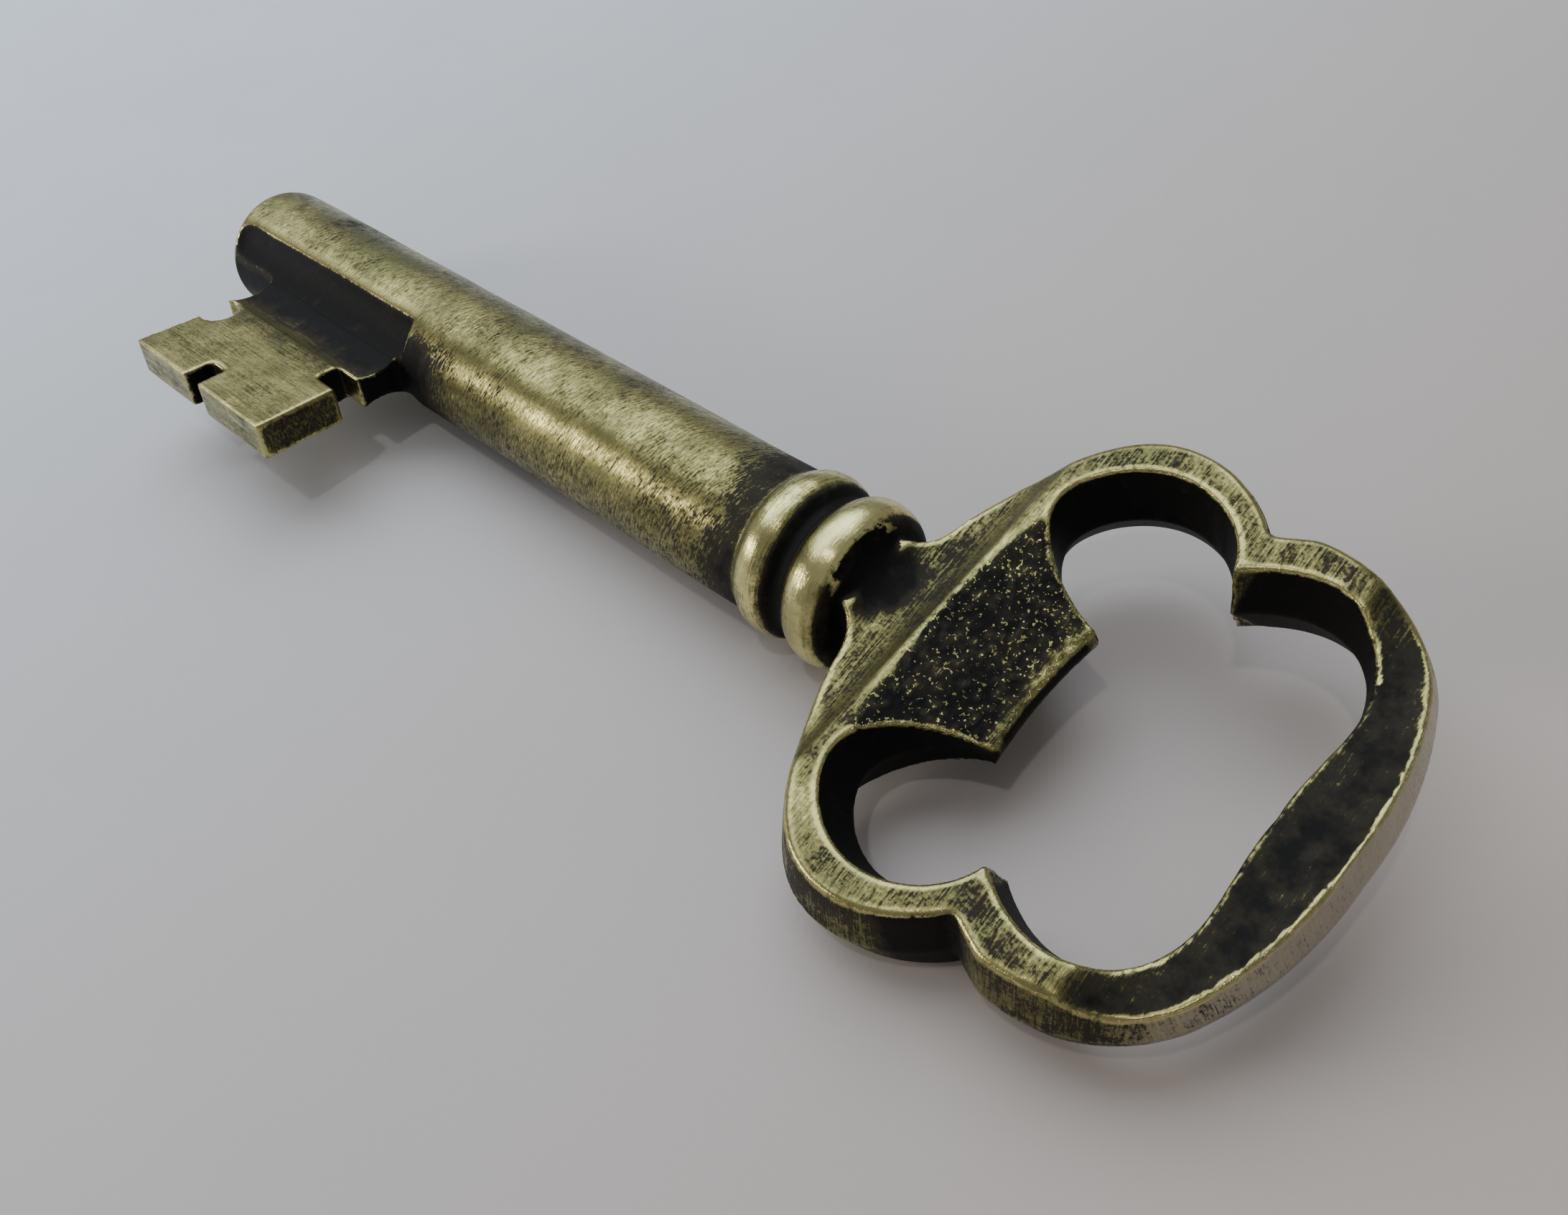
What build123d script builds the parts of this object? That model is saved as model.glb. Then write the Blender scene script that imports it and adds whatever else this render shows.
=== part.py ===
from build123d import *
from math import cos, radians, sin
import os

os.makedirs("parts", exist_ok=True)

# A cast brass radiator bleed key. All sizes are in millimetres.
# The shank axis is X, the bow lies in the XY plane and +Z is its upper face.
# The origin is the centre of the open end of the shank.

# Shank
SHANK_R = 4.9
SHANK_LENGTH = 59.3
TIP_ROUND = 0.7
SOCKET_SIDE = 5.0
SOCKET_DEPTH = 9.0
SPIGOT_R = 2.2
SPIGOT_DEPTH = 8.0

# Collar: two half-round beads with a groove between them, threaded on the spigot
FRONT_RING_WIDTH = 3.6
REAR_RING_WIDTH = 3.9
RING_R = 5.5
RING_END_R = 4.7
GROOVE_R = 4.55
GROOVE_HALF = 0.35
RING_BACK_R = 4.4

# Bit: a flat plate, rolled a little out of the plane of the bow
BIT_ROLL = 17.0
BIT_THICKNESS = 2.8
BIT_SEAT_R = 3.9
BIT_ROOT_THICKNESS = 4.0
BIT_ROOT_R = 5.5
BIT_OUTER_R = 16.4
BIT_START = 6.6
BIT_END = 24.2
BIT_BACK_STEP = 0.4
NOTCH_INNER_R = 8.3
NOTCH_OUTER_R = 10.1
NOTCH_DEPTH = 2.4
TIP_NOTCH_INNER_R = 8.9
TIP_NOTCH_OUTER_R = 11.3
SLOT_START = 14.0
SLOT_WIDTH = 1.8
SLOT_DEPTH = 2.3

# Cove that runs the bit root into the shank on each face
COVE_R = 4.05
COVE_OUT = 6.85
COVE_UP = 5.05
COVE_START = 2.3
COVE_END = 24.6

# Bow: the metal is widest at the parting plane and has draft both ways
BOW_HALF = 3.0
BOW_MIDDLE_X = 83.4
OUTSIDE_AT_PARTING = 1.052
OPENING_MIDDLE_X = 87.0
OPENING_AT_PARTING = 0.925
OPENING_BELOW = 1.03
NECK_R = 4.3
NECK_END = 70.0
FACE_END = 97.3
SCOOP_R = 3.6
SCOOP_X = 69.8
SCOOP_FLOOR = 2.2
FAR_SCOOP_R = 6.0
FAR_SCOOP_X = 94.3
FAR_SCOOP_FLOOR = 1.6
RIDGE_X = 72.1
WEB_EDGE_X = 79.5
WEB_EDGE_HALF = 0.45
WEB_CONE_R = 35.5
WEB_SECTOR = 20.0
CUT_WIDTH = 20.0

ring_joint = SHANK_LENGTH + FRONT_RING_WIDTH
neck_start = ring_joint + REAR_RING_WIDTH
spigot_start = SHANK_LENGTH - SPIGOT_DEPTH
front_crest = SHANK_LENGTH + (FRONT_RING_WIDTH - GROOVE_HALF) / 2
rear_crest = ring_joint + (REAR_RING_WIDTH + GROOVE_HALF) / 2
scoop_up = SCOOP_FLOOR + SCOOP_R
far_scoop_up = FAR_SCOOP_FLOOR + FAR_SCOOP_R
web_slope = (BOW_HALF - WEB_EDGE_HALF) / (WEB_EDGE_X - RIDGE_X)

roll = radians(BIT_ROLL)
bit_plane = Plane(origin=(0, 0, 0), x_dir=(1, 0, 0), z_dir=(0, sin(roll), cos(roll)))
cove_centres = []
for side in (1, -1):
    cove_y = side * COVE_UP * sin(roll) - COVE_OUT * cos(roll)
    cove_z = side * COVE_UP * cos(roll) + COVE_OUT * sin(roll)
    cove_centres.append((cove_y, cove_z))


# Points moved away from a place on the axis, or towards it.
def spread(points, factor, middle):
    return [(middle + (x - middle) * factor, y * factor) for x, y in points]


# Cutter for the two coves, with a round run-out at the tip end.
with BuildPart() as cove:
    with BuildSketch(Plane.YZ.offset(COVE_START)):
        with Locations(*cove_centres):
            Circle(COVE_R)
    extrude(amount=COVE_END - COVE_START)
    for cove_y, cove_z in cove_centres:
        with Locations((COVE_START, cove_y, cove_z)):
            Sphere(COVE_R)

# Shank: a round bar with the square socket in its tip, a seat for the bit and a
# blind hole for the spigot of the bow.
with BuildPart() as shank:
    with BuildSketch(Plane.YZ):
        Circle(SHANK_R)
    extrude(amount=SHANK_LENGTH)
    fillet(shank.faces().sort_by(Axis.X)[0].edges(), TIP_ROUND)
    with BuildSketch(Plane.YZ):
        Rectangle(SOCKET_SIDE, SOCKET_SIDE)
    extrude(amount=SOCKET_DEPTH, mode=Mode.SUBTRACT)
    with BuildSketch(Plane.YZ.offset(spigot_start)):
        Circle(SPIGOT_R)
    extrude(amount=SPIGOT_DEPTH, mode=Mode.SUBTRACT)
    with BuildSketch(bit_plane.offset(-BIT_ROOT_THICKNESS / 2)):
        with Locations((BIT_START, -SHANK_R - 1)):
            Rectangle(BIT_END - BIT_START, SHANK_R + 1 - BIT_SEAT_R, align=(Align.MIN, Align.MIN))
    extrude(amount=BIT_ROOT_THICKNESS, mode=Mode.SUBTRACT)
    add(cove.part, mode=Mode.SUBTRACT)

# Bit: the plate with a notch in each end, a slot in the outer edge and a thicker root,
# hollowed by the coves.
with BuildPart() as bit:
    with BuildSketch(bit_plane.offset(-BIT_THICKNESS / 2)):
        with BuildLine():
            Polyline(
                (BIT_START + BIT_BACK_STEP, -TIP_NOTCH_OUTER_R),
                (BIT_START, -BIT_OUTER_R),
                (SLOT_START, -BIT_OUTER_R),
                (SLOT_START, -BIT_OUTER_R + SLOT_DEPTH),
                (SLOT_START + SLOT_WIDTH, -BIT_OUTER_R + SLOT_DEPTH),
                (SLOT_START + SLOT_WIDTH, -BIT_OUTER_R),
                (BIT_END, -BIT_OUTER_R),
                (BIT_END, -NOTCH_OUTER_R),
                (BIT_END - NOTCH_DEPTH, -NOTCH_OUTER_R),
                (BIT_END - NOTCH_DEPTH, -NOTCH_INNER_R),
                (BIT_END, -NOTCH_INNER_R),
                (BIT_END, -BIT_SEAT_R),
                (BIT_START, -BIT_SEAT_R),
                (BIT_START, -TIP_NOTCH_INNER_R),
            )
            ThreePointArc(
                (BIT_START, -TIP_NOTCH_INNER_R),
                (BIT_START + NOTCH_DEPTH, -(TIP_NOTCH_INNER_R + TIP_NOTCH_OUTER_R) / 2),
                (BIT_START + BIT_BACK_STEP, -TIP_NOTCH_OUTER_R),
            )
        make_face()
    extrude(amount=BIT_THICKNESS)
    with BuildSketch(bit_plane.offset(-BIT_ROOT_THICKNESS / 2)):
        with Locations((BIT_START, -BIT_ROOT_R)):
            Rectangle(BIT_END - BIT_START, BIT_ROOT_R - BIT_SEAT_R, align=(Align.MIN, Align.MIN))
    extrude(amount=BIT_ROOT_THICKNESS)
    add(cove.part, mode=Mode.SUBTRACT)

# Front ring: the half-round bead against the shank and its half of the groove.
with BuildPart() as collar_front_ring:
    with BuildSketch(Plane.XZ):
        with BuildLine():
            Polyline(
                (ring_joint - GROOVE_HALF, GROOVE_R),
                (ring_joint, GROOVE_R),
                (ring_joint, SPIGOT_R),
                (SHANK_LENGTH, SPIGOT_R),
                (SHANK_LENGTH, RING_END_R),
            )
            ThreePointArc(
                (SHANK_LENGTH, RING_END_R),
                (front_crest, RING_R),
                (ring_joint - GROOVE_HALF, GROOVE_R),
            )
        make_face()
    revolve(axis=Axis.X)

# Rear ring: the neck scoop runs a short way into its back, above and below.
with BuildPart() as collar_rear_ring:
    with BuildSketch(Plane.XZ):
        with BuildLine():
            Polyline(
                (neck_start, RING_BACK_R),
                (neck_start, SPIGOT_R),
                (ring_joint, SPIGOT_R),
                (ring_joint, GROOVE_R),
                (ring_joint + GROOVE_HALF, GROOVE_R),
            )
            ThreePointArc(
                (ring_joint + GROOVE_HALF, GROOVE_R),
                (rear_crest, RING_R),
                (neck_start, RING_BACK_R),
            )
        make_face()
    revolve(axis=Axis.X)
    with BuildSketch(Plane.XZ):
        with Locations((SCOOP_X, scoop_up), (SCOOP_X, -scoop_up)):
            Circle(SCOOP_R)
    extrude(amount=CUT_WIDTH, both=True, mode=Mode.SUBTRACT)

# Cutter for one quarter of the sloping web, mirrored to all four.
with BuildPart() as web_cut:
    with BuildSketch(Plane.XZ):
        with BuildLine():
            Polyline(
                (RIDGE_X - 1 / web_slope, BOW_HALF + 1),
                (WEB_EDGE_X + 1, WEB_EDGE_HALF - web_slope),
                (WEB_EDGE_X + 1, BOW_HALF + 1),
                close=True,
            )
        make_face()
    revolve(axis=Axis((RIDGE_X + WEB_CONE_R, 0, 0), (0, 0, 1)), revolution_arc=WEB_SECTOR)
    mirror(about=Plane.XZ)
    mirror(about=Plane.XY)

# The section of the bow's opening at one height, made bigger or smaller.
def opening_section(height, factor):
    with BuildSketch(Plane.XY.offset(height)) as section:
        with BuildLine():
            Spline(
                *spread(
                    [
                        (78.8, 4.9),
                        (76.2, 5.7),
                        (73.9, 7.6),
                        (73.0, 9.8),
                        (74.7, 13.0),
                        (78.6, 14.5),
                        (82.1, 13.2),
                        (83.9, 10.5),
                    ],
                    factor,
                    OPENING_MIDDLE_X,
                )
            )
            Spline(
                *spread(
                    [
                        (83.9, 10.5),
                        (85.8, 11.7),
                        (88.5, 12.4),
                        (91.8, 11.3),
                        (93.6, 8.2),
                        (93.7, 5.0),
                        (93.5, 0),
                    ],
                    factor,
                    OPENING_MIDDLE_X,
                )
            )
            mirror(about=Plane.XZ)
            ThreePointArc(*spread([(78.8, -4.9), (78.4, 0), (78.8, 4.9)], factor, OPENING_MIDDLE_X))
        make_face()
    return section.sketch


# The section of the bow's outside at one height, made bigger or smaller.
def bow_section(height, factor):
    with BuildSketch(Plane.XY.offset(height)) as section:
        with BuildLine():
            Spline(
                *spread(
                    [
                        (65.0, 2.4),
                        (67.0, 2.6),
                        (68.4, 3.6),
                        (69.3, 6.2),
                        (70.8, 10.0),
                        (72.9, 13.7),
                        (75.6, 16.0),
                        (78.8, 16.5),
                        (81.8, 15.5),
                        (84.2, 13.5),
                    ],
                    factor,
                    BOW_MIDDLE_X,
                )
            )
            Line(*spread([(84.2, 13.5), (86.4, 14.5)], factor, BOW_MIDDLE_X))
            ThreePointArc(*spread([(86.4, 14.5), (91.5, 13.5), (95.0, 10.2)], factor, BOW_MIDDLE_X))
            ThreePointArc(*spread([(95.0, 10.2), (96.75, 5.6), (FACE_END, 0)], factor, BOW_MIDDLE_X))
            mirror(about=Plane.XZ)
            Line(*spread([(65.0, -2.4), (65.0, 2.4)], factor, BOW_MIDDLE_X))
        make_face()
    return section.sketch


# Cutter for the opening of the bow, narrowest at the parting plane.
with BuildPart() as opening:
    loft([opening_section(BOW_HALF, 1), opening_section(0, OPENING_AT_PARTING)], ruled=True)
    loft([opening_section(-BOW_HALF, OPENING_BELOW), opening_section(0, OPENING_AT_PARTING)], ruled=True)

# Bow: neck, four-lobed loop, far bar and web, with the spigot that carries the collar.
with BuildPart() as bow:
    loft([bow_section(-BOW_HALF, 1), bow_section(0, OUTSIDE_AT_PARTING)], ruled=True)
    mirror(about=Plane.XY)
    split(bisect_by=Plane.YZ.offset(neck_start), keep=Keep.TOP)
    with BuildSketch(Plane.XZ):
        with BuildLine():
            Polyline((NECK_END, 2.4), (NECK_END, 0), (neck_start, 0), (neck_start, NECK_R))
            ThreePointArc((neck_start, NECK_R), (67.7, 3.0), (NECK_END, 2.4))
        make_face()
    revolve(axis=Axis.X)
    with BuildSketch(Plane.XZ):
        with Locations((SCOOP_X, scoop_up), (SCOOP_X, -scoop_up)):
            Circle(SCOOP_R)
        with Locations((FAR_SCOOP_X, far_scoop_up), (FAR_SCOOP_X, -far_scoop_up)):
            Circle(FAR_SCOOP_R)
    extrude(amount=CUT_WIDTH, both=True, mode=Mode.SUBTRACT)
    add(web_cut.part, mode=Mode.SUBTRACT)
    add(opening.part, mode=Mode.SUBTRACT)
    with BuildSketch(Plane.YZ.offset(spigot_start)):
        Circle(SPIGOT_R)
    extrude(amount=neck_start - spigot_start)

shank.part.label = "shank"
bit.part.label = "bit"
collar_front_ring.part.label = "collar_front_ring"
collar_rear_ring.part.label = "collar_rear_ring"
bow.part.label = "bow"

export_step(shank.part, "parts/shank.step")
export_step(bit.part, "parts/bit.step")
export_step(collar_front_ring.part, "parts/collar_front_ring.step")
export_step(collar_rear_ring.part, "parts/collar_rear_ring.step")
export_step(bow.part, "parts/bow.step")
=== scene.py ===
"""A cast brass bleed key: one weathered casting cut into the CAD's pieces, its patina and its studio."""
import math

import bmesh
import bpy
import numpy as np
from mathutils import Matrix, Vector


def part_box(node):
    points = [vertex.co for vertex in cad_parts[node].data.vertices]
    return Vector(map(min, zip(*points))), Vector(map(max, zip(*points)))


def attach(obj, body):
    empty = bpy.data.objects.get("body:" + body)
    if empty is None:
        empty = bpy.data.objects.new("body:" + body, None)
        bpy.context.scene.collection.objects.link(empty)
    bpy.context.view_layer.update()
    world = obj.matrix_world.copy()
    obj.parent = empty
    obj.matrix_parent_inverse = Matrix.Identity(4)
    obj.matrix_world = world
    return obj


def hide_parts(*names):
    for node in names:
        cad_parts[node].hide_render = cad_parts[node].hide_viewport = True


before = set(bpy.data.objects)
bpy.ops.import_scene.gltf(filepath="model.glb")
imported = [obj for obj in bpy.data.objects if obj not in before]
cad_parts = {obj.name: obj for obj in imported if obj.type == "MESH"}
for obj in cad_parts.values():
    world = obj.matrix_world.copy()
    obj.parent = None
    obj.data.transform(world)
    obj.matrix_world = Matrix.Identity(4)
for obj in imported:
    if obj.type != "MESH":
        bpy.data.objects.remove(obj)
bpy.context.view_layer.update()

# ---------------------------------------------------------------- sizes, in millimetres
MM = 0.001
VOXEL = 0.16
GRAIN_SIZE = 0.48
GRAIN_HEIGHT = 0.07
CAST_NODES = ("shank", "bit", "collar_front_ring", "collar_rear_ring", "bow")


def box_mm(node):
    low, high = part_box(node)
    return np.array(low) / MM, np.array(high) / MM


# The turned parts, all on the X axis.
SHANK_R = box_mm("shank")[1][2]
RING_LOW, RING_HIGH = box_mm("collar_front_ring")
FRONT_START, FRONT_END, RING_R = RING_LOW[0], RING_HIGH[0], RING_HIGH[2]
REAR_END = box_mm("collar_rear_ring")[1][0]
FRONT_CREST = FRONT_START + 1.63
REAR_CREST = FRONT_END + 2.12

# The bit stands out from the shank in a rolled plane, with a round cove along each face of its root.
BIT_ROLL = math.radians(17.0)
BIT_CUT = 5.05
BIT_ZONE_END = 30.0
NOTCHES_START, NOTCHES_END, NOTCHES_OUT = 7.4, 23.6, 8.5
COVE_R, COVE_OUT, COVE_UP = 4.05, 6.85, 5.05
COVE_START, COVE_END = 2.3, 24.6
COVE_INNER_OUT = 2.6

# The neck flares to the collar at one end, and a round scoop is sunk in each of its faces.
SCOOP_X, SCOOP_UP, SCOOP_R = 69.8, 5.8, 3.6
NECK_R, NECK_FLARE = 3.0, 1.3
NECK_FLARE_X, NECK_FLARE_LENGTH = 67.7, 0.9
NECK_RIM_END = 68.4

# The sloping web of the bow: a shallow cone about a point on the axis beyond the bow.
RIDGE_X = 72.1
WEB_EDGE_X = 79.5
WEB_EDGE_HALF = 0.45
WEB_HALF_WIDTH = 12.5
WEB_CONE_X = RIDGE_X + 35.5

# The bow: flat faces, an opening made of round lobes, and a bar with sunk faces at the far end.
BOW_HALF = 3.0
OPENING_START = 72.2
LOBE_CENTRES = ((78.6, 9.7), (78.6, -9.7), (88.0, 5.5), (88.0, -5.5), (84.0, 0.0))
BAR_START = 90.6
WAIST_X, WAIST_Y = 83.0, 14.6
BAR_INNER_START, BAR_INNER_END, BAR_HALF_WIDTH = 91.5, 95.3, 9.0
FAR_WALL_START, FAR_WALL_END = 92.0, 97.0

# How far the tool strokes slant, as a share of the distance along them.
SHANK_SLANT, BOW_SLANT, WALL_SLANT = 0.35, 0.06, 0.15

# ---------------------------------------------------------------- numbers work on arrays


def smoothstep(low, high, x):
    t = np.clip((x - low) / (high - low), 0, 1)
    return t * t * (3 - 2 * t)


def blend(base, other, share):
    return base + (other - base) * share


def hashed(i, j, k, seed):
    """A repeatable number from 0 to 1 for each lattice cell."""
    n = (i * 73856093) ^ (j * 19349663) ^ (k * 83492791) ^ (seed * 2654435761)
    n = (n ^ (n >> 13)) * 1274126177 & 0xFFFFFFFF
    n = (n ^ (n >> 16)) * 668265263 & 0xFFFFFFFF
    return ((n ^ (n >> 15)) & 0xFFFFFF) / float(0xFFFFFF)


def value_noise(p, size, seed):
    """Smooth noise from -1 to 1, with features of about the size given in millimetres."""
    q = p / size
    cell = np.floor(q).astype(np.int64)
    f = q - cell
    f = f * f * (3 - 2 * f)
    total = np.zeros(len(p))
    for dx in (0, 1):
        for dy in (0, 1):
            for dz in (0, 1):
                weight = (
                    (f[:, 0] if dx else 1 - f[:, 0])
                    * (f[:, 1] if dy else 1 - f[:, 1])
                    * (f[:, 2] if dz else 1 - f[:, 2])
                )
                total += weight * hashed(cell[:, 0] + dx, cell[:, 1] + dy, cell[:, 2] + dz, seed)
    return total * 2 - 1


def grains(p, size, seed):
    """Distance to the nearest scattered grain, as a share of the grain size, and that grain's number."""
    q = p / size
    cell = np.floor(q).astype(np.int64)
    nearest = np.full(len(p), 9.0)
    number = np.zeros(len(p))
    for dx in (-1, 0, 1):
        for dy in (-1, 0, 1):
            for dz in (-1, 0, 1):
                i, j, k = cell[:, 0] + dx, cell[:, 1] + dy, cell[:, 2] + dz
                point = np.stack([c + hashed(i, j, k, seed + n) for n, c in enumerate((i, j, k))], axis=1)
                away = np.linalg.norm(q - point, axis=1)
                closer = away < nearest
                nearest[closer] = away[closer]
                number[closer] = hashed(i, j, k, seed + 3)[closer]
    return nearest, number


class Skin:
    """The mesh as arrays, with its neighbours, so that it can be smoothed and measured quickly."""

    def __init__(self, mesh):
        count = len(mesh.vertices)
        self.p = np.empty(count * 3)
        mesh.vertices.foreach_get("co", self.p)
        self.p = self.p.reshape(-1, 3)
        edges = np.empty(len(mesh.edges) * 2, dtype=np.int64)
        mesh.edges.foreach_get("vertices", edges)
        edges = edges.reshape(-1, 2)
        self.a = np.concatenate([edges[:, 0], edges[:, 1]])
        self.b = np.concatenate([edges[:, 1], edges[:, 0]])
        self.valence = np.maximum(np.bincount(self.a, minlength=count), 1)
        self.loops = np.empty(len(mesh.loops), dtype=np.int64)
        mesh.loops.foreach_get("vertex_index", self.loops)
        self.loops = self.loops.reshape(-1, 4)

    def mean(self, values):
        """Each vertex's average over its neighbours."""
        if values.ndim == 1:
            return np.bincount(self.a, values[self.b], len(values)) / self.valence
        return np.stack([self.mean(values[:, i]) for i in range(values.shape[1])], axis=1)

    def smoothed(self, values, steps, amount=0.6):
        for _ in range(steps):
            values = values + amount * (self.mean(values) - values)
        return values

    def normals(self):
        quad = self.p[self.loops]
        face = np.cross(quad[:, 2] - quad[:, 0], quad[:, 3] - quad[:, 1])
        normal = np.stack(
            [
                sum(np.bincount(self.loops[:, c], face[:, i], len(self.p)) for c in range(4))
                for i in range(3)
            ],
            axis=1,
        )
        return normal / np.maximum(np.linalg.norm(normal, axis=1, keepdims=True), 1e-12)

    def polish(self, rounds):
        """Takes out the voxel steps and keeps the volume."""
        for _ in range(rounds):
            self.p = self.p + 0.5 * (self.mean(self.p) - self.p)
            self.p = self.p - 0.52 * (self.mean(self.p) - self.p)


# ---------------------------------------------------------------- the casting


def joined_casting():
    """All the CAD nodes as one closed skin of even quads, in millimetres."""
    joined = bmesh.new()
    for node in CAST_NODES:
        joined.from_mesh(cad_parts[node].data)
    bmesh.ops.scale(joined, vec=(1 / MM,) * 3, verts=joined.verts)
    bmesh.ops.remove_doubles(joined, verts=joined.verts, dist=1e-4)
    mesh = bpy.data.meshes.new("casting")
    joined.to_mesh(mesh)
    joined.free()
    thing = bpy.data.objects.new("casting", mesh)
    bpy.context.collection.objects.link(thing)
    remesh = thing.modifiers.new("skin", "REMESH")
    remesh.mode = "VOXEL"
    remesh.voxel_size = VOXEL
    depsgraph = bpy.context.evaluated_depsgraph_get()
    skinned = bpy.data.meshes.new_from_object(thing.evaluated_get(depsgraph))
    bpy.data.objects.remove(thing)
    bpy.data.meshes.remove(mesh)
    return skinned


def soften_bow(skin):
    """Rounds the bow's outer edges, and rounds the start of its far bar for longer."""
    normal = skin.normals()
    x, z = skin.p[:, 0], skin.p[:, 2]
    outside = (x > REAR_END + 4) * (1 - facing_opening(skin.p, normal))
    outside = skin.smoothed(outside * smoothstep(1.6, 2.4, np.abs(z)), 3)[:, None]
    bar_start = smoothstep(1.8, 0.6, np.abs(x - BAR_START)) * smoothstep(0.6, 0.85, np.abs(normal[:, 2]))
    bar_start = skin.smoothed(bar_start, 3)[:, None]
    for soft, steps in ((np.maximum(outside, bar_start), 8), (bar_start, 22)):
        for _ in range(steps):
            skin.p = skin.p + 0.6 * soft * (skin.mean(skin.p) - skin.p)


def true_shank(skin):
    """Draws the skin of the shank onto its cylinder, apart from the root of the bit."""
    p = skin.p
    x = p[:, 0]
    radius = np.hypot(p[:, 1], p[:, 2])
    outward, upward = bit_frame(p)
    on_shank = (x > 1.2) & (x < FRONT_START - 0.4)
    by_bit = (x < COVE_END + 1) & (outward > COVE_INNER_OUT) & (np.abs(upward) < 4.2)
    pull = np.where(on_shank & ~by_bit, smoothstep(0.22, 0.08, np.abs(radius - SHANK_R)), 0)
    grown = 1 + pull * (SHANK_R / np.maximum(radius, 1e-6) - 1)
    p[:, 1] *= grown
    p[:, 2] *= grown


def cut_piece(mesh, name, cuts):
    """The part of the casting on the far side of each cut, closed again with a flat cap."""
    part = bmesh.new()
    part.from_mesh(mesh)
    for place, normal in cuts:
        kept = part.verts[:] + part.edges[:] + part.faces[:]
        made = bmesh.ops.bisect_plane(
            part, geom=kept, dist=1e-5, plane_co=place, plane_no=normal, clear_inner=True
        )
        rim = [e for e in made["geom_cut"] if isinstance(e, bmesh.types.BMEdge)]
        bmesh.ops.holes_fill(part, edges=rim, sides=0)
        for edge in rim:
            edge.smooth = False
    bmesh.ops.triangulate(part, faces=[f for f in part.faces if len(f.verts) > 4])
    result = bpy.data.meshes.new(name)
    part.to_mesh(result)
    part.free()
    result.transform(Matrix.Scale(MM, 4))
    for polygon in result.polygons:
        polygon.use_smooth = True
    piece = bpy.data.objects.new(name, result)
    bpy.context.collection.objects.link(piece)
    return piece


def add_layer(mesh, name, values):
    if values.ndim == 1:
        layer = mesh.attributes.new(name, "FLOAT", "POINT")
        layer.data.foreach_set("value", values.astype(np.float32))
    else:
        layer = mesh.attributes.new(name, "FLOAT_VECTOR", "POINT")
        layer.data.foreach_set("vector", values.astype(np.float32).ravel())


# ---------------------------------------------------------------- the surfaces, told apart


def web_height(p):
    """Half the thickness of the web at each place, and its share of the way from the edge to the ridge."""
    rho = np.hypot(p[:, 0] - WEB_CONE_X, p[:, 1])
    inner = WEB_CONE_X - WEB_EDGE_X
    outer = WEB_CONE_X - RIDGE_X
    share = (rho - inner) / (outer - inner)
    return WEB_EDGE_HALF + share * (BOW_HALF - WEB_EDGE_HALF), share


def web_cover(skin, normal):
    """1 on the stippled ground between the two first lobes, on both faces."""
    p = skin.p
    height, share = web_height(p)
    cover = (
        smoothstep(0.5, 0.15, np.abs(np.abs(p[:, 2]) - height))
        * smoothstep(-0.02, 0.05, share)
        * smoothstep(1.015, 0.985, share)
        * smoothstep(0.45, 0.7, np.abs(normal[:, 2]))
        * (p[:, 0] > RIDGE_X - 3)
        * (np.abs(p[:, 1]) < WEB_HALF_WIDTH)
    )
    return skin.smoothed(cover, 2), share


def facing_opening(p, normal):
    """1 on walls of the bow that look into its opening."""
    centres = np.array(LOBE_CENTRES)
    away = p[:, None, :2] - centres[None]
    nearest = np.linalg.norm(away, axis=2).argmin(axis=1)
    inward = -(away[np.arange(len(p)), nearest] * normal[:, :2]).sum(axis=1)
    return smoothstep(-0.3, 0.3, inward) * (p[:, 0] > OPENING_START)


def outer_edge(skin, normal):
    """Falls from about a half at the bow's outer edge to 0 a little way in on its faces."""
    upright = np.abs(normal[:, 2]) < 0.6
    wall = upright * (facing_opening(skin.p, normal) < 0.5) * (skin.p[:, 0] > RIDGE_X)
    return skin.smoothed(wall.astype(float), 14)


def bit_frame(p):
    """Distances out from the shank axis in the plane of the bit, and up from that plane."""
    outward = -p[:, 1] * math.cos(BIT_ROLL) + p[:, 2] * math.sin(BIT_ROLL)
    upward = p[:, 1] * math.sin(BIT_ROLL) + p[:, 2] * math.cos(BIT_ROLL)
    return outward, upward


def on_bit(p):
    return (p[:, 0] < BIT_ZONE_END) & (bit_frame(p)[0] > BIT_CUT)


def past_cove(p):
    """How far each place is outside the round of the nearer cove, in millimetres."""
    outward, upward = bit_frame(p)
    before = np.minimum(p[:, 0] - COVE_START, 0)
    return np.sqrt(before**2 + (outward - COVE_OUT) ** 2 + (np.abs(upward) - COVE_UP) ** 2) - COVE_R


def past_scoop(p):
    """How far each place is outside the round of the nearer neck scoop, in millimetres."""
    return np.hypot(p[:, 0] - SCOOP_X, np.abs(p[:, 2]) - SCOOP_UP) - SCOOP_R


def neck_rim(p):
    """1 along the edge where the neck scoop runs out through the sides of the neck."""
    x, y, z = p.T
    flare = np.clip((NECK_FLARE_X - x) / NECK_FLARE_LENGTH, 0, 1) ** 2
    from_side = np.hypot(y, z) - (NECK_R + NECK_FLARE * flare)
    near = smoothstep(0.22, 0.07, np.hypot(past_scoop(p), from_side))
    return near * (x > REAR_END + 0.1) * (x < NECK_RIM_END) * smoothstep(2.0, 2.4, np.abs(y))


# ---------------------------------------------------------------- patina and painted shade, from 0 for bright to 1 for black


def along_cove(p):
    return (p[:, 0] < COVE_END + 0.1) & (p[:, 0] > 0.3)


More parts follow.
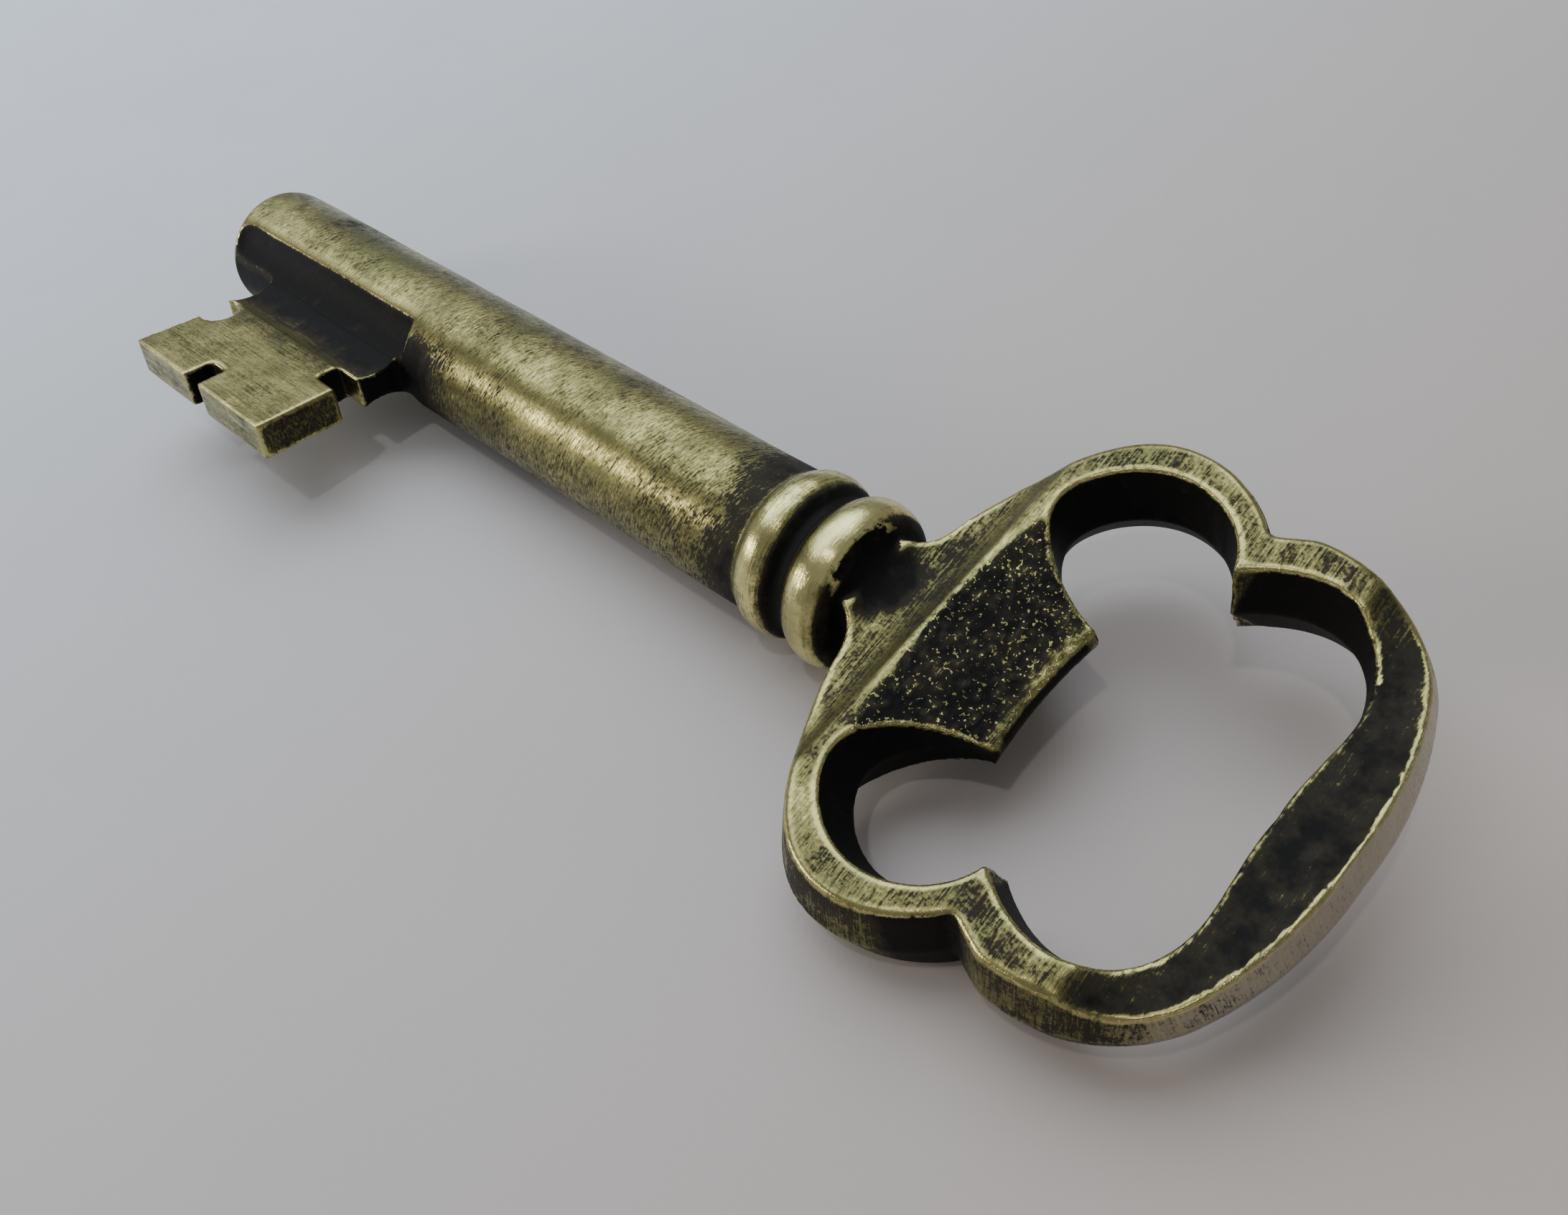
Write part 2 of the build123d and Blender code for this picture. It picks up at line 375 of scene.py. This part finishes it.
def cove_patina(p, cloud):
    """1 in the coves beside the bit, and how dark they are: black by the shank, fading outward."""
    past = past_cove(p)
    cove = smoothstep(0.10, 0.0, past) * smoothstep(-0.35, -0.15, past) * along_cove(p)
    return cove, 0.97 - 0.50 * smoothstep(5.8, 8.9, bit_frame(p)[0]) + 0.06 * cloud


def shank_patina_and_shade(p, normal, cloud):
    """Mottled, and darker by the collar and round the root of the bit, with painted shade underneath and on
    the -Y side.
    """
    x, y, z = p.T
    outward = bit_frame(p)[0]
    dark = 0.33 + 0.11 * cloud
    dark += 0.40 * smoothstep(FRONT_START - 4.5, FRONT_START - 0.4, x)
    # Painted shade: the underside and the -Y flank are darkened by the way they face.
    painted_underside_shade = smoothstep(-0.25, -0.9, normal[:, 2])
    painted_flank_shade = smoothstep(-0.45, -0.85, normal[:, 1])
    dark += 0.16 * painted_underside_shade + 0.09 * painted_flank_shade
    dark += 0.25 * smoothstep(0.3, 0.9, cloud) * smoothstep(14, 4, x)
    dark += 0.55 * smoothstep(31, 25, x) * smoothstep(3.0, 4.3, outward) * (x > COVE_END - 0.6)
    in_socket = np.hypot(y, z) < SHANK_R - 1.5
    dark = np.where(in_socket, 0.9, dark)
    dark -= 0.30 * smoothstep(0.9, 0.2, past_cove(p)) * along_cove(p)
    dark += 0.60 * smoothstep(7.5, 6.5, x) * smoothstep(3.7, 4.2, outward)
    cove, cove_dark = cove_patina(p, cloud)
    return blend(dark, cove_dark, cove)


def bit_patina_and_shade(p, normal, cloud, flat):
    """Bright outer faces, a stain that spreads from the root, dark walls in the notches, and painted shade
    on the end walls by the root.
    """
    outward = bit_frame(p)[0]
    cove, cove_dark = cove_patina(p, cloud)
    dark = blend(0.28 + 0.10 * cloud, cove_dark, cove)
    dark += 0.30 * smoothstep(10.8, 7.6, outward + 1.4 * cloud) * flat * (1 - cove)
    dark += 0.65 * smoothstep(5.9, 5.3, outward) * (1 - cove)
    # Walls across the bit are dark: in the notches as patina, and near the root as painted shade.
    notch_walls_and_shaded_root = (p[:, 0] > NOTCHES_START) & (p[:, 0] < NOTCHES_END) | (outward < NOTCHES_OUT)
    return dark + smoothstep(0.6, 0.85, np.abs(normal[:, 0])) * np.where(notch_walls_and_shaded_root, 0.8, 0.30)


def ring_patina_and_shade(p, cloud):
    """Bright beads with black in the groove between them and in the neck scoop, and painted shade on the
    rear flank behind them.
    """
    x, y, z = p.T
    below_crest = RING_R - np.hypot(y, z)
    start = np.where(x < FRONT_END, 0.16, 0.50)
    groove = (x > FRONT_CREST) & (x < REAR_CREST)
    dark = 0.19 + 0.10 * cloud
    dark += 0.72 * groove * smoothstep(start, start + 0.35, below_crest)
    # Painted shade on the back flank of the rear ring; black patina in the neck scoop.
    rear_shade_and_scoop = np.maximum(smoothstep(0.30, 0.60, below_crest), smoothstep(0.22, 0.02, past_scoop(p)))
    return dark + 0.72 * (x > REAR_CREST) * rear_shade_and_scoop


def neck_cover(p, share):
    """1 on the flat faces of the neck, up to the ridge where the web begins."""
    return smoothstep(1.0, 1.025, share) * smoothstep(15.5, 12, np.abs(p[:, 1])) * (p[:, 0] < 77)


def bow_patina(skin, normal, cloud, flat, web, share, grain_top):
    """Worn rims, dark sunk faces with bright grains, and black walls inside the opening."""
    p = skin.p
    x, y, z = p.T
    rim = 0.37 + 0.15 * cloud + 0.08 * smoothstep(7, 13, y)
    rim += 0.21 * smoothstep(0, -10, y) * smoothstep(79, 88, x)
    tongue = smoothstep(1.15, 0.8, np.hypot((x - REAR_END) / 3.0, y / 2.9))
    neck = 0.50 + 0.14 * cloud + 0.35 * tongue - 0.06 * smoothstep(7, 11, np.abs(y))
    dark = blend(rim, neck, neck_cover(p, share))

    bar = 0.76 + 0.12 * cloud - 0.45 * smoothstep(0.06, 0.34, outer_edge(skin, normal))
    in_bar = smoothstep(88.8, 92.8, x + 0.6 * cloud) * smoothstep(3.05, 2.1, np.abs(z)) * flat
    dark = blend(dark, bar, in_bar)

    ground = 0.89 + 0.10 * cloud - 0.45 * grain_top - 0.42 * smoothstep(0.24, 0.11, share)
    ground -= 0.10 * smoothstep(0.92, 0.98, share)
    dark = blend(dark, ground, web)

    looks_in = facing_opening(p, normal)
    upright = (1 - flat) * (1 - web)
    dark = blend(dark, 0.97, looks_in * upright)
    wall = 0.56 + 0.16 * cloud - 0.28 * smoothstep(91.0, 97.0, x) + 0.5 * smoothstep(72.5, 70.0, x)
    wall += 0.5 * smoothstep(3.2, 1.2, np.hypot(x - WAIST_X, np.abs(y) - WAIST_Y))
    return blend(dark, wall, (1 - looks_in) * upright)


def patina_and_shade_map(skin, normal, swell, web, share, grain_top):
    """How dark each place is before the fine grain, darker in hollows and bright on the neck's rim, with
    the painted shade of the shank, bit and rear ring mixed in.
    """
    p = skin.p
    x = p[:, 0]
    flat = smoothstep(0.55, 0.8, np.abs(normal[:, 2]))
    cavity = smoothstep(-0.01, -0.09, swell)
    cloud = value_noise(p, 3.2, 21) + 0.5 * value_noise(p, 1.1, 22)

    patina_and_shade = np.select(
        [x > REAR_END, x > FRONT_START, bit_frame(p)[0] > BIT_CUT],
        [
            bow_patina(skin, normal, cloud, flat, web, share, grain_top),
            ring_patina_and_shade(p, cloud),
            bit_patina_and_shade(p, normal, cloud, flat),
        ],
        shank_patina_and_shade(p, normal, cloud),
    )
    patina_and_shade = skin.smoothed(patina_and_shade, 2)
    patina_and_shade += 0.5 * cavity * (1 - web) * (1 - 0.85 * neck_cover(p, share))
    return patina_and_shade - 0.6 * neck_rim(p)


# ---------------------------------------------------------------- wear, strokes and relief


def wear_map(p, edge):
    """How far the patina has worn off the edges; the neck's edges wear more, and sheltered ones less."""
    x, y, z = p.T
    outward, upward = bit_frame(p)
    neck = smoothstep(64.8, 65.4, x) * smoothstep(71.0, 70.0, x)
    wear = smoothstep(0.008 - 0.004 * neck, 0.034 - 0.016 * neck, edge)
    by_cove = (outward > COVE_INNER_OUT) & (np.abs(upward) < 4.3)
    cove_start = (x < COVE_START + 1.6) & (x > 0.9) & by_cove
    parting = (x > RIDGE_X) & (np.abs(z) < 0.8)
    bar_inner = (x > BAR_INNER_START) & (x < BAR_INNER_END) & (np.abs(y) < BAR_HALF_WIDTH)
    ring_back = (x > REAR_CREST + 0.6) & (x < REAR_END + 0.3) & (np.abs(y) > 2.9)
    sheltered = [cove_start, parting, bar_inner, on_bit(p), ring_back]
    wear *= np.select(sheltered, [0.1, 0.35, 0.45, 0.6, 0.1], 1.0)
    return np.maximum(wear, 0.9 * neck_rim(p))


def painted_reflection_map(skin, normal):
    """1 on the outside wall of the far bar, where a pale grey painted reflection is mixed into the colour
    and the roughness is lowered a little.
    """
    far = smoothstep(FAR_WALL_START, FAR_WALL_END, skin.p[:, 0])
    upright = smoothstep(0.75, 0.5, np.abs(normal[:, 2]))
    return skin.smoothed(far * upright * (1 - facing_opening(skin.p, normal)), 4)


def stroke_map(p, normal):
    """Places measured across and along the tool strokes, in millimetres, for each kind of surface."""
    x, y, z = p.T
    turn = np.arctan2(y, z) * SHANK_R
    turned = x < REAR_END
    bit = on_bit(p)
    wall = (x > REAR_END) & (np.abs(normal[:, 2]) < 0.6)
    across = np.where(turned, x - SHANK_SLANT * turn * (x < FRONT_START), x + BOW_SLANT * y)
    along = np.where(turned, turn, y)
    depth = np.where(turned, np.hypot(y, z) * 0.3, z)
    across = np.where(bit, bit_frame(p)[0], across)
    along = np.where(bit, x, along)
    depth = np.where(bit, z, depth)
    around = np.where(np.abs(normal[:, 0]) > np.abs(normal[:, 1]), y, x)
    across = np.where(wall, around, across)
    along = np.where(wall, z + WALL_SLANT * around, along)
    depth = np.where(wall, 0.5 * (x + y - around), depth)
    return np.stack([across, along, depth], axis=1)


def cast_relief(p, web):
    """How far the stippling and the casting's unevenness lift each place, and 1 on the larger grains."""
    on_web = np.where(web > 0.01)[0]
    away, number = grains(p[on_web], GRAIN_SIZE, 11)
    lift = np.zeros(len(p))
    lift[on_web] = web[on_web] * (GRAIN_HEIGHT * smoothstep(0.75, 0.15, away) * (0.4 + number) - 0.04)
    lift += 0.035 * value_noise(p, 5.0, 3) + 0.010 * value_noise(p, 1.3, 4)
    grain_top = np.zeros(len(p))
    grain_top[on_web] = web[on_web] * smoothstep(0.62, 0.15, away) * smoothstep(0.25, 0.7, number)
    return lift, grain_top


def weathered_casting():
    """The finished skin in millimetres, with the layers that its materials read."""
    mesh = joined_casting()
    skin = Skin(mesh)
    skin.polish(10)
    skin.p = skin.smoothed(skin.p, 3, 0.5)
    soften_bow(skin)
    true_shank(skin)

    normal = skin.normals()
    web, share = web_cover(skin, normal)
    lift, grain_top = cast_relief(skin.p, web)
    fine = skin.smoothed(skin.p, 6)
    broad = skin.smoothed(fine, 50)
    edge = ((skin.p - fine) * normal).sum(axis=1)
    swell = ((skin.p - broad) * normal).sum(axis=1)

    skin.p = skin.p + normal * lift[:, None]
    mesh.vertices.foreach_set("co", skin.p.ravel())
    add_layer(mesh, "wear", wear_map(skin.p, edge))
    add_layer(mesh, "painted_reflection", painted_reflection_map(skin, normal))
    add_layer(mesh, "patina_and_shade", patina_and_shade_map(skin, normal, swell, web, share, grain_top))
    add_layer(mesh, "web", web)
    add_layer(mesh, "strokes", stroke_map(skin.p, normal))
    return mesh


# ---------------------------------------------------------------- materials


class Nodes:
    """Short calls for building one material's node tree."""

    def __init__(self, name):
        self.material = bpy.data.materials.new(name)
        self.material.use_nodes = True
        self.tree = self.material.node_tree
        self.shader = self.tree.nodes["Principled BSDF"]

    def link(self, source, target):
        self.tree.links.new(source, target)

    def put(self, value, socket):
        if isinstance(value, bpy.types.NodeSocket):
            self.link(value, socket)
        else:
            socket.default_value = value

    def layer(self, name, output="Fac"):
        node = self.tree.nodes.new("ShaderNodeAttribute")
        node.attribute_name = name
        return node.outputs[output]

    def place(self):
        return self.tree.nodes.new("ShaderNodeTexCoord").outputs["Object"]

    def stretched(self, vector, scale):
        node = self.tree.nodes.new("ShaderNodeMapping")
        self.link(vector, node.inputs["Vector"])
        node.inputs["Scale"].default_value = scale
        return node.outputs["Vector"]

    def noise(self, vector, scale=1.0, detail=3.0, roughness=0.55, distortion=0.0):
        node = self.tree.nodes.new("ShaderNodeTexNoise")
        self.link(vector, node.inputs["Vector"])
        node.inputs["Scale"].default_value = scale
        node.inputs["Detail"].default_value = detail
        node.inputs["Roughness"].default_value = roughness
        node.inputs["Distortion"].default_value = distortion
        return node.outputs["Fac"]

    def math(self, operation, a, b=0.0, c=0.0):
        node = self.tree.nodes.new("ShaderNodeMath")
        node.operation = operation
        for value, socket in zip((a, b, c), node.inputs):
            self.put(value, socket)
        return node.outputs["Value"]

    def add_scaled(self, base, value, amount, middle=0.5):
        """base + (value - middle) * amount"""
        offset = self.math("SUBTRACT", value, middle)
        return self.math("MULTIPLY_ADD", offset, amount, base)

    def between(self, value, low, high, to_low=0.0, to_high=1.0):
        node = self.tree.nodes.new("ShaderNodeMapRange")
        node.interpolation_type = "SMOOTHSTEP"
        settings = (value, low, high, to_low, to_high)
        for socket, number in zip(("Value", "From Min", "From Max", "To Min", "To Max"), settings):
            self.put(number, node.inputs[socket])
        return node.outputs["Result"]

    def mix(self, factor, a, b):
        node = self.tree.nodes.new("ShaderNodeMix")
        node.data_type = "RGBA"
        self.put(factor, node.inputs["Factor"])
        self.put(a, node.inputs["A"])
        self.put(b, node.inputs["B"])
        return node.outputs["Result"]

    def bump(self, height, strength, distance, before=None):
        node = self.tree.nodes.new("ShaderNodeBump")
        node.inputs["Strength"].default_value = strength
        node.inputs["Distance"].default_value = distance
        self.link(height, node.inputs["Height"])
        if before is not None:
            self.link(before, node.inputs["Normal"])
        return node.outputs["Normal"]


POLISHED_BRASS = (0.80, 0.74, 0.32, 1)
BRIGHT_BRASS = (0.49, 0.445, 0.18, 1)
# The pale grey brass below is a painted reflection on the far bar's outside wall.
PAINTED_REFLECTION_BRASS = (0.38, 0.35, 0.29, 1)
DULL_BRASS = (0.168, 0.152, 0.057, 1)
OLIVE_BRASS = (0.136, 0.134, 0.052, 1)
BLACK_PATINA = (0.004, 0.0035, 0.003, 1)
BROWN_PATINA = (0.029, 0.024, 0.015, 1)
HALF_COVERED = 0.52


def antique_brass(name, strokes_by, scratches_by, polish, soft=0.12, bright=BRIGHT_BRASS):
    """Brass with a worn-through black patina, which also carries painted shade; soft widens its edge and
    polish smooths the bare metal.
    """
    n = Nodes(name)
    place = n.place()
    strokes = n.layer("strokes", "Vector")
    patina_and_shade = n.layer("patina_and_shade")
    web = n.layer("web")
    painted_reflection = n.layer("painted_reflection")

    short_strokes = n.noise(n.stretched(strokes, (6.5, 1.6, 4.0)), 1.0, 4.0, 0.62, 0.3)
    hairlines = n.noise(n.stretched(strokes, (17.0, 0.9, 5.0)), 1.0, 3.0, 0.6)
    scratches = n.noise(n.stretched(strokes, (8.0, 0.22, 2.5)), 1.0, 3.0, 0.65, 0.1)
    speckle = n.noise(place, 5200.0, 3.0, 0.6)
    blotches = n.noise(place, 900.0, 4.0, 0.6)
    tint = n.noise(place, 260.0, 3.0, 0.5)
    grain = n.math("MULTIPLY", n.between(n.noise(place, 4300.0, 1.0, 0.5), 0.60, 0.68), web)

    broken = n.between(n.noise(place, 2600.0, 3.0, 0.65), 0.30, 0.58, 0.15, 1.0)
    wear = n.math("MULTIPLY", n.layer("wear"), broken)
    dark = n.add_scaled(patina_and_shade, short_strokes, strokes_by)
    dark = n.add_scaled(dark, scratches, scratches_by)
    dark = n.add_scaled(dark, hairlines, strokes_by * 0.35)
    dark = n.add_scaled(dark, speckle, 0.60)
    dark = n.add_scaled(dark, blotches, 0.50)
    dark = n.math("MULTIPLY_ADD", wear, -0.75, dark)
    dark = n.math("MULTIPLY_ADD", grain, -0.60, dark)
    cover = n.between(dark, HALF_COVERED - soft, HALF_COVERED + soft)
    haze = n.between(dark, 0.05, 0.46)

    metal = n.mix(haze, bright, DULL_BRASS)
    metal = n.mix(n.between(tint, 0.40, 0.66, 0.0, 0.6), metal, OLIVE_BRASS)
    # Painted reflection: the far bar's outside wall is tinted pale grey.
    metal = n.mix(n.math("MULTIPLY", painted_reflection, 0.85), metal, PAINTED_REFLECTION_BRASS)
    metal = n.mix(n.math("MULTIPLY", wear, 0.75), metal, bright)
    # Black where the patina value is high, and that includes the painted shade.
    grime_and_shade = n.mix(n.between(n.add_scaled(patina_and_shade, blotches, 0.6), 0.68, 0.95), BROWN_PATINA, BLACK_PATINA)
    n.link(n.mix(cover, metal, grime_and_shade), n.shader.inputs["Base Color"])

    n.link(n.between(cover, 0.0, 1.0, 1.0, 0.0), n.shader.inputs["Metallic"])
    rough = n.between(cover, 0.0, 1.0, 0.36 - polish, 0.55)
    rough = n.math("MULTIPLY_ADD", n.math("SUBTRACT", haze, 0.5), 0.12, rough)
    rough = n.math("MULTIPLY_ADD", wear, -0.06, rough)
    rough = n.math("MULTIPLY_ADD", painted_reflection, -0.06, rough)
    rough = n.add_scaled(rough, hairlines, 0.20)
    n.link(rough, n.shader.inputs["Roughness"])

    coarse = n.bump(short_strokes, 0.40, 0.00005)
    fine = n.bump(hairlines, 0.40, 0.00003, coarse)
    pits = n.bump(speckle, 0.30, 0.00002, fine)
    relief = n.bump(grain, 0.60, 0.00006, pits)
    n.link(relief, n.shader.inputs["Normal"])
    n.shader.inputs["IOR"].default_value = 1.4
    n.shader.inputs["Specular IOR Level"].default_value = 0.2
    return n.material


# ---------------------------------------------------------------- the pieces

BIT_OUT = Vector((0.0, -math.cos(BIT_ROLL), math.sin(BIT_ROLL)))
TOWARDS_BOW = Vector((1, 0, 0))


def make_pieces():
    """Cuts the casting where the CAD nodes meet, hangs every piece on the root body and hides its node."""
    front, middle, rear = (Vector((x, 0, 0)) for x in (FRONT_START, FRONT_END, REAR_END))
    towards_tip = -TOWARDS_BOW
    bit_root = BIT_OUT * BIT_CUT
    pieces = (
        ("shank_casting", "shank", "shank_brass", [(front, towards_tip), (bit_root, -BIT_OUT)]),
        ("bit_casting", "bit", "bit_brass", [(front / 2, towards_tip), (bit_root, BIT_OUT)]),
        (
            "front_ring_casting",
            "collar_front_ring",
            "collar_brass",
            [(front, TOWARDS_BOW), (middle, towards_tip)],
        ),
        (
            "rear_ring_casting",
            "collar_rear_ring",
            "collar_brass",
            [(middle, TOWARDS_BOW), (rear, towards_tip)],
        ),
        ("bow_casting", "bow", "bow_brass", [(rear, TOWARDS_BOW)]),
    )
    finishes = {
        "shank_brass": antique_brass("shank_brass", strokes_by=1.15, scratches_by=0.10, polish=0.05),
        "bit_brass": antique_brass("bit_brass", strokes_by=0.45, scratches_by=0.75, polish=0.03, soft=0.18),
        "collar_brass": antique_brass(
            "collar_brass", strokes_by=0.45, scratches_by=0.75, polish=0.09, bright=POLISHED_BRASS
        ),
        "bow_brass": antique_brass("bow_brass", strokes_by=0.52, scratches_by=0.68, polish=0.06),
    }
    casting = weathered_casting()
    for name, node, slot, cuts in pieces:
        piece = cut_piece(casting, name, cuts)
        piece.data.materials.append(finishes[slot])
        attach(piece, "root")
        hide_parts(node)
    bpy.data.meshes.remove(casting)


make_pieces()

# ---------------------------------------------------------------- floor
TIP_CONTACT_X = 0.7
RING_CONTACT_X = 60.9
SIDE_CONTACT = np.array([79.0, -16.6, -BOW_HALF])
FLOOR_GAP = 0.1
FAR_PAPER = (0.80, 0.87, 0.97, 1)
FAR_PAPER_PALE = (0.84, 0.91, 1.0, 1)
# The near paper colour is painted shade at the bow's end of the floor.
NEAR_PAPER_PAINTED_SHADE = (0.54, 0.455, 0.395, 1)


def rest_plane():
    """The plane that touches the tip and the front ring from below and the -Y side of the bow."""
    roll = 0.0
    for _ in range(20):
        stretch = math.hypot(1, roll)
        tilt = (RING_R - SHANK_R) * stretch / (RING_CONTACT_X - TIP_CONTACT_X)
        level = tilt * TIP_CONTACT_X - SHANK_R * stretch
        roll = (tilt * SIDE_CONTACT[0] + SIDE_CONTACT[2] - level) / -SIDE_CONTACT[1]
    up = Vector((tilt, roll, 1.0))
    return up.normalized(), level / up.length


up, level = rest_plane()


def make_floor():
    """Pale mottled paper under the key, with a painted falloff of light: cool and bright on the tip's side,
    darker and warm on the bow's.
    """
    grid = bmesh.new()
    bmesh.ops.create_grid(grid, x_segments=60, y_segments=60, size=1.5)
    floor_mesh = bpy.data.meshes.new("floor")
    grid.to_mesh(floor_mesh)
    grid.free()
    floor = bpy.data.objects.new("floor", floor_mesh)
    bpy.context.collection.objects.link(floor)
    across = up.cross(Vector((1, 0, 0))).normalized()
    axes = Matrix((across.cross(up), across, up)).transposed()
    floor.matrix_world = Matrix.Translation(up * (level - FLOOR_GAP) * MM) @ axes.to_4x4()
    n = Nodes("floor")
    mottle = n.noise(n.place(), 60.0, 4.0, 0.6)
    fibre = n.noise(n.place(), 2400.0, 3.0, 0.6)
    along = n.tree.nodes.new("ShaderNodeSeparateXYZ")
    n.link(n.place(), along.inputs["Vector"])
    # Painted shade: the paper darkens and warms along X towards the bow, standing in for light falling off.
    near = n.between(along.outputs["X"], -0.12, 0.15)
    paper = n.mix(n.between(mottle, 0.3, 0.7), FAR_PAPER, FAR_PAPER_PALE)
    paper = n.mix(near, paper, NEAR_PAPER_PAINTED_SHADE)
    n.link(paper, n.shader.inputs["Base Color"])
    n.link(n.between(fibre, 0.3, 0.7, 0.62, 0.74), n.shader.inputs["Roughness"])
    n.link(n.bump(fibre, 0.15, 0.00003), n.shader.inputs["Normal"])
    floor_mesh.materials.append(n.material)


make_floor()

# ---------------------------------------------------------------- light, in metres
KEY_MIDDLE = Vector((0.055, 0, 0))
WORLD_COLOUR = (0.84, 0.84, 0.87, 1)
WORLD_STRENGTH = 0.30
# Each light's name, azimuth, elevation, distance, size, watts and colour.
LIGHTS = (
    ("window_back", 142, 55, 0.8, (1.1, 0.8), 6.3, (0.82, 0.91, 1.0)),
    ("window_left", -140, 25, 0.8, (0.26, 0.15), 1.9, (1.0, 0.96, 0.90)),
    ("ceiling", -43, 78, 0.9, (0.04, 0.04), 0.6, (1.0, 0.98, 0.95)),
)


def area_light(name, azimuth, elevation, distance, size, power, colour):
    """A soft box aimed at the middle of the key, at an azimuth from +X and an elevation in degrees."""
    light = bpy.data.lights.new(name, "AREA")
    light.shape = "RECTANGLE"
    light.size, light.size_y = size
    light.energy = power
    light.color = colour
    lamp = bpy.data.objects.new(name, light)
    bpy.context.collection.objects.link(lamp)
    a, e = math.radians(azimuth), math.radians(elevation)
    direction = Vector((math.cos(a) * math.cos(e), math.sin(a) * math.cos(e), math.sin(e)))
    lamp.location = KEY_MIDDLE + direction * distance
    lamp.rotation_mode = "QUATERNION"
    lamp.rotation_quaternion = direction.to_track_quat("Z", "Y")


def light_studio():
    for light in LIGHTS:
        area_light(*light)
    world = bpy.data.worlds.new("studio")
    world.use_nodes = True
    background = world.node_tree.nodes["Background"]
    background.inputs["Color"].default_value = WORLD_COLOUR
    background.inputs["Strength"].default_value = WORLD_STRENGTH
    bpy.context.scene.world = world


light_studio()

# ---------------------------------------------------------------- camera, in metres and radians
CAMERA_PLACE = Vector((0.11245, -0.02995, 0.06999))
CAMERA_AZIMUTH = -0.4835
CAMERA_ELEVATION = 0.8913
CAMERA_ROLL = 0.418
CAMERA_LENS = 34.58


def make_camera():
    """Looks down at the key from the bow's side, turned about its own line of sight."""
    data = bpy.data.cameras.new("camera")
    data.sensor_width = 36.0
    data.lens = CAMERA_LENS
    data.clip_start, data.clip_end = 0.005, 20
    camera = bpy.data.objects.new("camera", data)
    bpy.context.collection.objects.link(camera)
    back = Vector(
        (
            math.cos(CAMERA_AZIMUTH) * math.cos(CAMERA_ELEVATION),
            math.sin(CAMERA_AZIMUTH) * math.cos(CAMERA_ELEVATION),
            math.sin(CAMERA_ELEVATION),
        )
    )
    right = (-back).cross(Vector((0, 0, 1))).normalized()
    down = (-back).cross(right)
    turned_right = right * math.cos(CAMERA_ROLL) + down * math.sin(CAMERA_ROLL)
    turned_down = -right * math.sin(CAMERA_ROLL) + down * math.cos(CAMERA_ROLL)
    axes = Matrix((turned_right, -turned_down, back)).transposed()
    camera.matrix_world = Matrix.Translation(CAMERA_PLACE) @ axes.to_4x4()
    bpy.context.scene.camera = camera


make_camera()
